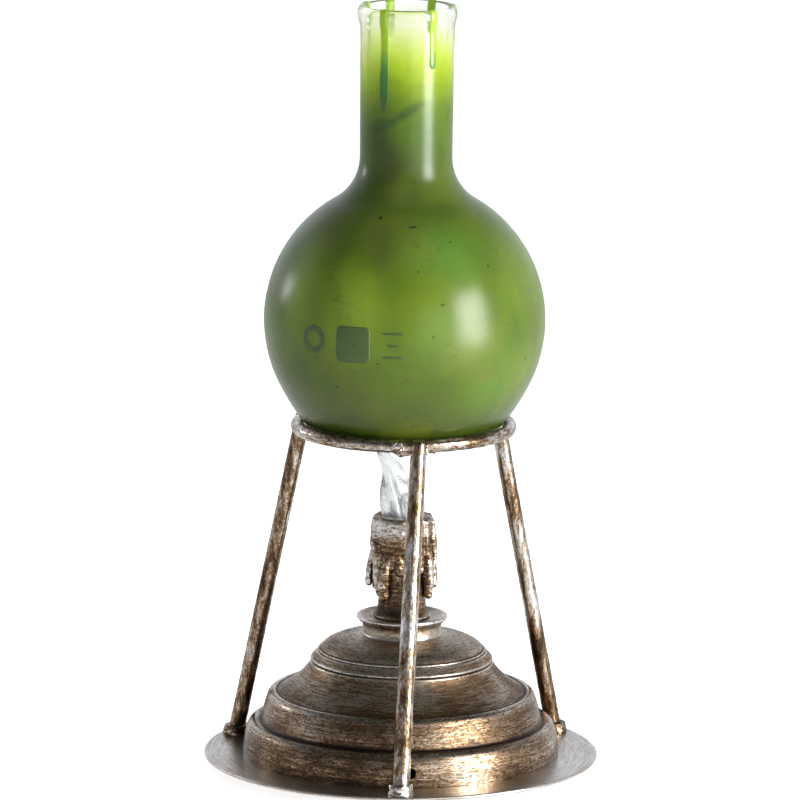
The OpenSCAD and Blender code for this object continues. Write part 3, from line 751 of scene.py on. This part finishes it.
def make_marks():
    """Plain marks where the flask's printed patch, sign and capacity are."""
    mark("print_patch", -21.2, 168.9, rounded_box(13.2, 13.6, 2.2), PRINT)
    mark("print_ring", -39.3, 169.6, arc((0, 0), 5.2, 0, 355, 71), PRINT, inner=0.58)
    for i, wide in enumerate((7.5, 4.2, 7.5)):
        mark(f"print_tick_{i + 1}", -4.6, 173.6 - 4.4 * i, rounded_box(wide, 0.9, 0.35, 4), PALE_PRINT)


def rim_contour():
    """The neck's section from inside the mouth, over the rim and down the outside."""
    inside = [(BORE, RIM - 14), (BORE, RIM - 1.6)]
    over = curved([inside[-1]], ((BORE, RIM - 0.4), (BORE + 0.6, RIM), (NECK_R - 0.3, RIM), 6))[1:]
    outside = [p for p in reversed(flask_outer()) if p[1] > BULB_Z + 30]
    return spaced(inside + over + outside, 0.3)


def drip_course(start, end):
    """Points and normals of a drip's line, from start mm down inside the mouth to a height outside."""
    contour = rim_contour()
    course = list(zip(contour, normals(contour[::-1])[::-1]))
    crest = max(range(len(course)), key=lambda i: contour[i][1])
    return [q for i, q in enumerate(course) if (q[0][1] >= RIM - start if i < crest else q[0][1] >= end)]


def drip_swell(azimuth, z, t, gap):
    """How full a drip is t of the way along it: by its head, and by all else. gap is how many lengths of its
    round tail are left."""
    least = 0.06
    head = min(1, 0.25 + 5 * t)
    foot = math.sqrt(max(0, 1 - (1 - min(1, gap)) ** 2)) if t < 1 else 0
    bulge = 1 + 0.14 * math.exp(-((gap - 1.2) / 0.7) ** 2) if t > 0.5 else 1
    swell = 1 + 0.18 * noise.noise(Vector((azimuth, 0.25 * z, 5)))
    return head, swell * bulge * max(foot, least)


def make_drip(name, azimuth, start, end, width, tail):
    """A run of stain over the rim. tail is the length of its round end."""
    course = drip_course(start, end)
    sides, verts = 20, []
    for i, ((r, z), (nr, nz)) in enumerate(course):
        t = i / (len(course) - 1)
        head, swell = drip_swell(azimuth, z, t, (z - end) / tail if t > 0.5 else 2)
        half = width / 2 * (0.55 + 0.45 * head) * swell
        thick = 0.3 * head * swell
        away, side = facing(azimuth + 1.6 * noise.noise(Vector((azimuth, 0.09 * z, 1))))
        out = away * nr + Vector((0, 0, nz))
        centre = away * r + Vector((0, 0, z))
        verts += [(centre + side * half * u + out * thick * v) * MM for u, v in circle(sides)]
    make(name, verts, ring_faces(len(course), sides), DRIPS, body="flask", slot="green_glass")


make_marks()
for number, drip in enumerate((
    # azimuth, start, end, width, tail
    (-28.5, 5, 250, 3.3, 7), (32.5, 0.4, 266, 2.7, 2.2), (97, 4, 272, 2.4, 4),
    (146, 10, 258, 2.8, 4), (203, 7, 274, 3.2, 4), (246, 6, 262, 2.6, 4),
), start=1):
    make_drip(f"stain_drip_{number}", *drip)


# Tripod

def rough_tube(name, path, radii, sides, material, lump, scale, closed=False, floor=-math.inf, **facts):
    """A round bar along a path, slightly uneven, and no lower than floor."""
    verts = []
    count = len(path)
    for i, (spot, size) in enumerate(zip(path, radii)):
        before = path[i - 1 if closed else max(i - 1, 0)]
        after = path[(i + 1) % count if closed else min(i + 1, count - 1)]
        heading = (after - before).normalized()
        across = heading.cross(Vector((0, 0, 1) if closed else (0.13, 1, 0.07))).normalized()
        upward = heading.cross(across)
        for u, v in circle(sides):
            out = across * u + upward * v
            skin = size + lump * min(1, size) * noise.fractal((spot + out * size) * scale, 1, 2, 3)
            corner = spot + out * skin
            corner.z = max(corner.z, floor)
            verts.append(corner * MM)
    make(name, verts, ring_faces(count, sides, closed), material, slot="antique_silver", **facts)


def near(azimuth, centre, width):
    """1 at an azimuth, falling to 0 within width degrees."""
    gap = (azimuth - centre + 180) % 360 - 180
    return math.exp(-(gap / width) ** 2)


def make_ring():
    """The ring's bar, a little thicker at the legs and where its ends are joined."""
    count, joint = 360, -2
    path, radii = [], []
    for i in range(count):
        azimuth = 360 * i / count
        swell = sum(near(azimuth, at, 6) for at, _ in LEGS.values()) + 0.8 * near(azimuth, joint, 2.2)
        path.append(place(RING_R + 0.12 * noise.noise(Vector((i * 0.05, 0, 0))), azimuth, RING_Z) / MM)
        radii.append(RING_ROD - 0.04 + 0.16 * swell)
    rough_tube("ring_rod", path, radii, 28, SILVER_RING, 0.1, 0.45, closed=True, replaces="ring")


def leg_line(name):
    """The foot and the head of a leg's middle line."""
    at_ring, at_foot = LEGS[name]
    return place(FOOT_R, at_foot, PLATE_TOP) / MM, place(RING_R + 0.7, at_ring, RING_Z) / MM


def make_leg(name):
    """A straight rod with a domed head. The front one grows thicker towards its foot."""
    foot, head = leg_line(name)
    heading = (head - foot).normalized()
    steps, dome_steps, dome_height = 160, 6, 0.9
    top = head + heading * 0.9
    path = [foot.lerp(top, i / steps) for i in range(steps + 1)]
    spread = 0.45 if name == "front" else 0.1
    radii = [LEG_R + 0.1 + spread * (1 - i / steps) for i in range(steps + 1)]
    for i in range(1, dome_steps + 1):
        t = i / dome_steps
        path.append(top + heading * dome_height * math.sin(t * math.pi / 2))
        radii.append(LEG_R * (1 - 0.55 * (1 - math.cos(t * math.pi / 2))))
    radii[-1] = 0.05
    rough_tube("leg_rod_" + name, path, radii, 32, SILVER_ROD, 0.1, 0.4, floor=PLATE_TOP,
               replaces="leg_" + name)


def make_collar(name):
    """A short ferrule on the plate round the foot of a leg, with a rounded, uneven edge."""
    foot, head = leg_line(name)
    lean = (head - foot) * (1 / (head.z - foot.z))
    outline = ((4.9, -0.2), (4.85, 0.6), (4.65, 1.6), (4.6, 2.7), (4.4, 3.5), (4, 3.9), (3.5, 3.6),
               (2.7, 3.4))
    outline = softened(spaced(outline, 0.3), 2)
    share = 0.35  # of the leg's lean that the ferrule follows
    sides, verts = 40, []
    for r, z in outline:
        middle = foot + lean * share * z + Vector((0, 0, z * (1 - share)))
        for u, v in circle(sides):
            out = Vector((u, v, 0))
            spot = middle + out * r
            spot += out * 0.28 * noise.fractal(spot * 0.45, 1, 2, 3)
            spot.z = max(PLATE_TOP, spot.z + 0.3 * noise.noise(spot * 0.5) * (z > 1))
            verts.append(spot * MM)
    make("leg_ferrule_" + name, verts, ring_faces(len(outline), sides), SILVER_RING,
         replaces="leg_collar_" + name, slot="antique_silver")


def make_welds():
    """Lumps of filler where the legs meet the ring, and where the ring's two ends are joined."""
    low, mid = RING_Z - RING_ROD, RING_Z
    runs = [
        ((2.5, 40.6, low + 0.3, 1.3), (-1.5, 40.3, low - 0.1, 1.5), (-4.5, 40, low + 0.6, 0.9)),
        ((13.2, 40.8, low + 1, 1.1), (16.2, 40.4, low + 0.8, 1.2), (18.4, 40.2, low + 1.4, 0.7)),
        ((4.6, 41.6, mid + 0.4, 0.9), (4.4, 41.9, mid - 2.4, 1)),
        ((11.6, 41.7, mid + 0.2, 0.9), (11.8, 41.9, mid - 2.2, 1)),
    ]
    for k in range(4):
        runs.append(((-5.2 + 1.3 * k, 41.7, mid + 1.3, 0.5), (-3.8 + 1.3 * k, 41.9, mid - 1.4, 0.55)))
    for at, _ in (LEGS["right"], LEGS["left"]):
        for side in (-1, 1):
            runs.append(((at + side * 3.4, 41.4, mid - 0.2, 1), (at + side * 3.6, 41, low + 0.2, 1.2)))
        runs.append(((at - 4.5, 40, low + 0.4, 0.9), (at + 3, 39.6, low + 0.2, 1.1)))
    lumps = [ball for run in runs for ball in balls(run)]
    fused("ring_welds", lumps, SILVER_RING, voxel=0.2, smooth=2, lump=0.28, scale=0.9, slot="antique_silver")


make_ring()
for leg in LEGS:
    make_leg(leg)
    make_collar(leg)
make_welds()


# Base

def cover_outer():
    """Two spun tiers, a flared cone, a narrow sloping band, a rolled bead and a low crown."""
    points = curved(
        [(COVER_R, 0), (COVER_R, 1.2)],
        ((59.2, 4.5), (58.9, 7), (58, 9.4), 8),
        ((57.3, 11.2), (56.6, 12.1), (55, 12.25), 8))
    points = curved(
        points + [(53.1, 12.2), (52.7, 12.5)],
        ((52.5, 12.9), (52.4, 13.6), (52.2, 14.6), 4),
        ((51.8, 17.2), (51.2, 19), (50.6, 20.7), 8),
        ((50.2, 22.4), (49.5, 23.4), (47.9, 23.5), 8),
        ((47.4, 23.5), (47.1, 23), (46.7, 23.2), 4),
        ((42.5, 25.3), (35.8, 30.6), (34.3, 34.8), 24))
    points = curved(
        points + [(33.8, 35), (33.7, 35.3), (34.3, 35.6), (34.25, 36.1), (31.9, 38.7), (31.4, 38.8),
                  (31, 38.7)],
        ((31.7, 39.1), (31.5, 39.7), (30.9, 39.7), 4),
        ((29.7, 41.4), (27.6, 43), (22, 44.3), 16))
    return [(r, z + PLATE_TOP) for r, z in points]


def vent_cutter(azimuth, height, radius):
    """A rod with a ragged outline, through the cover's wall from front to back."""
    sides, reach = 40, 6
    ragged = [radius * (1 + 0.1 * noise.noise(Vector((k, 0, 0)))) for k in range(sides)]
    middle = place(59, azimuth, PLATE_TOP + height)
    verts = [middle + Vector((r * u, depth, r * v)) * MM
             for depth in (-reach, reach) for r, (u, v) in zip(ragged, circle(sides))]
    return make("vent", verts, ring_faces(2, sides), SILVER_SPUN)


def make_cover():
    """A thin sheet with a hole for the stem, an inward flange at its foot and a vent."""
    sheet, hole_r, flange_r = 0.9, 5.1, 50.2
    outer = softened(spaced(cover_outer(), 0.22), 1)
    inner = softened(shifted(softened(spaced(cover_outer(), 1.2), 2), -sheet), 2)
    crown = [(14.7, COVER_TOP), (hole_r, COVER_TOP), (hole_r, COVER_TOP - sheet)]
    foot = [(COVER_R - sheet, PLATE_TOP + sheet), (flange_r, PLATE_TOP + sheet), (flange_r, PLATE_TOP)]
    points = outer + spaced([outer[-1], *crown], 1.5)[1:]
    points += spaced([crown[-1], *reversed(inner[2:])], 2)[1:] + foot
    cover = lathe("spun_cover", points, 256, SILVER_SPUN, wobble=0.08, replaces="stepped_cover",
                  slot="antique_silver")
    carve(cover, vent_cutter(3.5, 5.3, 2))


def make_cup():
    """The neck under the candle and its flanged cup, which catches the wax."""
    low, neck, rim_r, rim = COVER_TOP, 14.7, 17.1, PLATE_TOP + 52.1
    points = curved(
        [(5.1, low), (neck + 0.5, low)],
        ((neck + 0.1, low + 0.3), (neck, low + 1), (neck, low + 2.2), 5),
        ((neck, low + 3.6), (neck + 0.2, low + 4.2), (rim_r - 1.6, rim - 1.9), 7),
        ((rim_r - 0.4, rim - 1.1), (rim_r + 0.1, rim - 0.7), (rim_r, rim), 8),
        ((rim_r - 0.1, rim + 0.6), (rim_r - 0.8, rim + 0.8), (rim_r - 1.4, rim + 0.5), 6),
        ((14.2, rim - 0.2), (12.6, rim - 0.6), (11.2, rim - 0.3), 8),
        ((10, rim), (8.9, rim + 0.9), (8.75, rim + 3.4), 8))
    points += [(8.62, rim + 3.4), (8.65, PLATE_TOP + 51), (5.1, PLATE_TOP + 51)]
    lathe("drip_cup", spaced(points, 0.8), 128, SILVER_SPUN, wobble=0.12, replaces="candle_cup",
          slot="antique_silver")


make_cover()
make_cup()


# Candle

WAX_DRIPS = (
    # each drip from its head down, as (azimuth, radius, height above the plate, half width)
    ((-82, 10.6, 88, 1.3), (-80, 11.2, 80, 1.2), (-80, 11, 75, 1)),
    ((-68, 10.6, 89, 1.4), (-70, 10.9, 80, 1.7), (-72, 10.8, 74, 1.5)),
    ((-88, 10.6, 78, 1.4), (-82, 12, 73.5, 1.3), (-80, 12.7, 69.5, 1.45), (-80, 12.8, 65.2, 1.5)),
    ((-62, 10.2, 80, 2), (-59, 10.6, 73, 2.1), (-55, 10.7, 67, 2.2), (-51, 10.3, 62.9, 2.25)),
    ((-42, 9, 76, 2), (-44, 9.4, 73, 1.8), (-46, 9.2, 69, 1.3)),
    ((-34, 9, 76, 2), (-39, 10, 71, 2.2), (-41, 10.8, 65, 2.1), (-39, 10.6, 60.9, 2.1)),
    ((-8, 8.8, 76, 2.2), (-7, 9.4, 73, 2.1), (-5, 9.3, 70.6, 1.9)),
    ((12, 8.8, 76, 2.2), (13, 9.6, 70, 2.3), (12, 9.6, 66, 2.2)),
    ((33, 10.6, 88, 1.3), (36, 10.7, 80, 1.6), (38, 10.3, 74, 1.8), (39, 10.1, 71, 1.7)),
    ((52, 10.8, 89, 1.1), (53, 10.9, 83, 1.3), (54, 10.8, 77, 1.3)),
    ((60, 10.2, 80, 2), (63, 10.8, 72, 2.2), (66, 10.8, 65, 2.1), (68, 10.4, 61, 1.8)),
    ((84, 10.7, 88, 1.5), (86, 11.3, 80, 1.6), (88, 11.8, 75, 1.5), (87, 11.6, 70, 1.4)),
    ((88, 10.4, 76, 1.5), (86, 11.4, 70, 1.7), (84, 11.5, 65, 1.9)),
    ((118, 10, 86, 1.8), (121, 10.3, 74, 2), (122, 10.2, 65.2, 2.2)),
    ((146, 9.9, 80, 2.2), (147, 10, 73, 2), (148, 9.9, 69.9, 1.9)),
    ((168, 9.9, 82, 2), (166, 10.1, 70, 2.1), (165, 10, 60.6, 2.3)),
    ((196, 9.9, 82, 2), (195, 10.1, 74, 2.1), (193, 10, 67.4, 2.1)),
    ((222, 9.9, 84, 2), (224, 10, 76, 2), (224, 9.9, 72, 1.9)),
    ((250, 10, 82, 2), (248, 10.1, 72, 2.1), (248, 10.1, 63.2, 2.2)),
    # and lumps along the candle's upper edge
    ((-95, 9.9, 89.6, 1), (-60, 10, 89.3, 1.3), (-35, 9.8, 89.7, 0.9)),
    ((20, 9.9, 89.5, 1), (50, 10, 89.3, 1.2), (85, 10, 89.4, 1.1)),
    ((140, 9.9, 89.6, 1), (180, 10, 89.4, 1.2), (215, 9.9, 89.7, 0.9)),
)


def wax_body():
    """Verts and faces of the thick upper part of the candle, which is hollow."""
    outline = [(8.7, 71.5), (9.3, 70.9), (9.9, 72), (10.5, 75.5), (11.1, 79.5), (11.4, 84), (11.4, 88),
               (11.2, 89.8), (10.6, 90.6), (9.4, 90.8), (8.6, 90.2), (8.25, 89), (8.25, 88), (8.7, 87.8)]
    outline = spaced(outline, 1)
    sides = 64
    verts = [place(r, 360 * k / sides, z + PLATE_TOP) for r, z in outline for k in range(sides)]
    return verts, ring_faces(len(outline), sides, closed=True)


def make_wax():
    """The candle's thick upper part with its drips, as one cast skin."""
    spheres = []
    for drip in WAX_DRIPS:
        spheres += balls([(a, r, z + PLATE_TOP, w) for a, r, z, w in drip])
    fused("wax_drips", spheres, CANDLE_PAINT, voxel=0.3, smooth=4, lump=0.34, scale=0.42, base=wax_body(),
          replaces="wax_sleeve", slot="candle_paint")


def make_core():
    """The painted tube, with wax that has run out round its foot."""
    outline = [(10.8, 52.3), (10.5, 53), (9.7, 53.9), (9.15, 55.2), (8.9, 57), (8.75, 60), (8.65, 66),
               (8.6, 87.7), (7.7, 87.7), (7.7, 52.3)]
    points = [(r, z + PLATE_TOP) for r, z in softened(spaced(outline, 0.6), 2)]
    lathe("candle_core", points, 128, CANDLE_PAINT, wobble=0.5, replaces="candle_tube",
          slot="candle_paint")


# Edges of the flame from its foot to its tip, as (x, height over the foot)
FLAME_LEFT = ((-7.9, 0), (-8.7, 4), (-8.8, 8.5), (-8.3, 12.4), (-7.9, 16.3), (-8.5, 19.4), (-9.7, 22.4),
              (-9.9, 24.2), (-9.3, 25.3))
FLAME_RIGHT = ((7.9, 0), (8.2, 3.5), (7, 7.6), (4.2, 11), (2.2, 14), (0.6, 17.3), (-1.9, 20.3),
               (-5, 23.2), (-8.1, 25.4))


def along(points, t):
    """A point at t, from 0 to 1, of a smooth curve through evenly shared points."""
    at = t * (len(points) - 1)
    i = min(int(at), len(points) - 2)
    u = at - i
    a, b, c, d = (points[min(max(k, 0), len(points) - 1)] for k in (i - 1, i, i + 1, i + 2))
    return tuple(0.5 * (2 * b[k] + (c[k] - a[k]) * u + (2 * a[k] - 5 * b[k] + 4 * c[k] - d[k]) * u * u
                        + (3 * b[k] - a[k] - 3 * c[k] + d[k]) * u ** 3) for k in (0, 1))


def flame_edges(t):
    """Left and right edges of the flame at t; towards the tip they close in a round end."""
    left, right = along(FLAME_LEFT, t), along(FLAME_RIGHT, t)
    middle = tuple((a + b) / 2 for a, b in zip(left, right))
    closing = math.sqrt(max(0, 1 - max(0, (t - 0.9) / 0.1) ** 2))
    return [tuple(m + (e - m) * max(closing, 0.02) for m, e in zip(middle, edge)) for edge in (left, right)]


def crease(across, t, low, high, foot, head, depth):
    """How far a fold cuts in: it leans from foot to head, as shares of the flame's half width."""
    if not low < t < high:
        return 0
    share = (t - low) / (high - low)
    middle = foot + (head - foot) * share ** 1.3
    fading = math.sin(math.pi * min(1, share * 1.02)) ** 0.6
    return depth * fading * math.exp(-((across - middle) / 0.1) ** 2)


# Folds on the flame's back and front, as crease's arguments from low to depth
BACK_FOLDS = ((-0.02, 0.5, 0.35, -0.1, 0.22), (-0.02, 0.3, -0.4, -0.5, 0.15))
FRONT_FOLDS = ((-0.02, 0.46, -0.52, -0.82, 0.26), (-0.02, 0.66, 0, -0.45, 0.24))


def make_flame():
    """The flame, flattened from front to back and folded, with a hollow for the lamp in its foot."""
    rings, sides, verts = 64, 96, []
    for i in range(rings + 1):
        t = i / rings
        left, right = flame_edges(t)
        centre = [(a + b) / 2 for a, b in zip(left, right)]
        half = [(b - a) / 2 for a, b in zip(left, right)]
        depth = math.hypot(*half) * (1 - 0.12 * t)
        for across, out in circle(sides):
            cut = sum(crease(across, t, *fold) for fold in (BACK_FOLDS if out > 0 else FRONT_FOLDS))
            swell = 1 + 0.05 * math.sin(3.2 * across + 5 * t)
            verts.append(Vector((centre[0] + half[0] * across, depth * out * (swell - cut),
                                 FLAME_FOOT + centre[1] + half[1] * across)) * MM)
    flame = make("flame", verts, ring_faces(rings + 1, sides), FLAME, replaces="flame_tip",
                 slot="clear_flame")
    hollow = [(0.01, 7.2), (1.3, 6.9), (2.4, 6), (3, 4.6), (3.1, 3), (3.1, -1), (0.01, -1)]
    points = [(r, z + FLAME_FOOT) for r, z in reversed(spaced(hollow, 0.6))]
    carve(flame, lathe("hollow", points, 48, FLAME, closed=False))


make_core()
make_wax()
make_flame()


# Floor, light and camera

def make_floor():
    """A pale floor, brighter to the eye than in the light that it gives off."""
    size = 6
    mesh = bpy.data.meshes.new("floor")
    corners = [(-size, -size, 0), (size, -size, 0), (size, size, 0), (-size, size, 0)]
    mesh.from_pydata(corners, [], [(0, 1, 2, 3)])
    t = paint("pale_floor")
    tint = t.ramp(t.noise(t.position, 0.01, 2), (0.3, (0.86, 0.86, 0.86)), (0.7, (0.88, 0.88, 0.88)))
    mesh.materials.append(t.finish(Base_Color=tint, Roughness=0.6, Emission_Color=(1, 1, 1),
                                   Emission_Strength=t.between(t.seen(), FLOOR_LEVEL, FLOOR_SEEN)))
    added("floor", mesh)


def aimed(item, aim, azimuth, elevation, distance, roll=0.0):
    """Puts a lamp or the camera at a distance from its aim, with a roll about its own axis."""
    up = math.radians(elevation)
    item.location = aim + (facing(azimuth)[0] * math.cos(up) + Vector((0, 0, math.sin(up)))) * distance
    item.rotation_mode = "QUATERNION"
    look = (aim - item.location).to_track_quat("-Z", "Y")
    item.rotation_quaternion = look @ Matrix.Rotation(math.radians(roll), 3, "Z").to_quaternion()


def softbox(name, azimuth, elevation, distance, size, power, reflected=True):
    """A rectangular light on the object. A reflected one shows as a highlight."""
    light = bpy.data.lights.new(name, "AREA")
    light.shape = "RECTANGLE"
    light.size, light.size_y = size
    light.energy = power
    lamp = added(name, light)
    lamp.visible_glossy = reflected
    aimed(lamp, Vector((0, 0, 0.17)), azimuth, elevation, distance)


def make_world():
    """White behind the object and as the background, dim above and in front of it."""
    t = Tree(bpy.data.worlds.new("studio"), "ShaderNodeOutputWorld", "Generated", 1)
    front = t.fade(t.z, 0.1, 0.55, FRONT_LEVEL, TOP_LEVEL)
    back = t.fade(t.z, 0.3, 0.85, BACK_LEVEL, TOP_LEVEL)
    level = t.between(t.fade(t.y, -0.25, 0.45), front, back)
    tint = t.mix(t.seen(), (0.9, 0.93, 1), (1, 1, 1))
    bpy.context.scene.world = t.finish("ShaderNodeBackground", Color=tint,
                                       Strength=t.between(t.seen(), level, 1))


def make_camera():
    """A long lens, a little above the object and turned a little about its own axis."""
    data = bpy.data.cameras.new("camera")
    data.sensor_width = 36
    data.lens = 315
    data.shift_x = -0.0049
    data.clip_start = 0.1
    data.clip_end = 50
    camera = added("camera", data)
    aimed(camera, Vector((0, 0, (134.4 + PLATE_TOP) * MM)), 0, 10.85, 2.6148, roll=0.52)
    bpy.context.scene.camera = camera


make_camera()
make_floor()
make_world()
softbox("key", 56, 2, 1.1, (0.46, 1), 29)
softbox("card", 23, 4, 1.1, (0.5, 0.5), 1.1)
softbox("rim", -118, 9, 1.1, (0.14, 0.14), 0.7)
softbox("fill", 20, 75, 1.6, (1.6, 1.6), 8, reflected=False)
bpy.context.scene.view_settings.view_transform = "Standard"
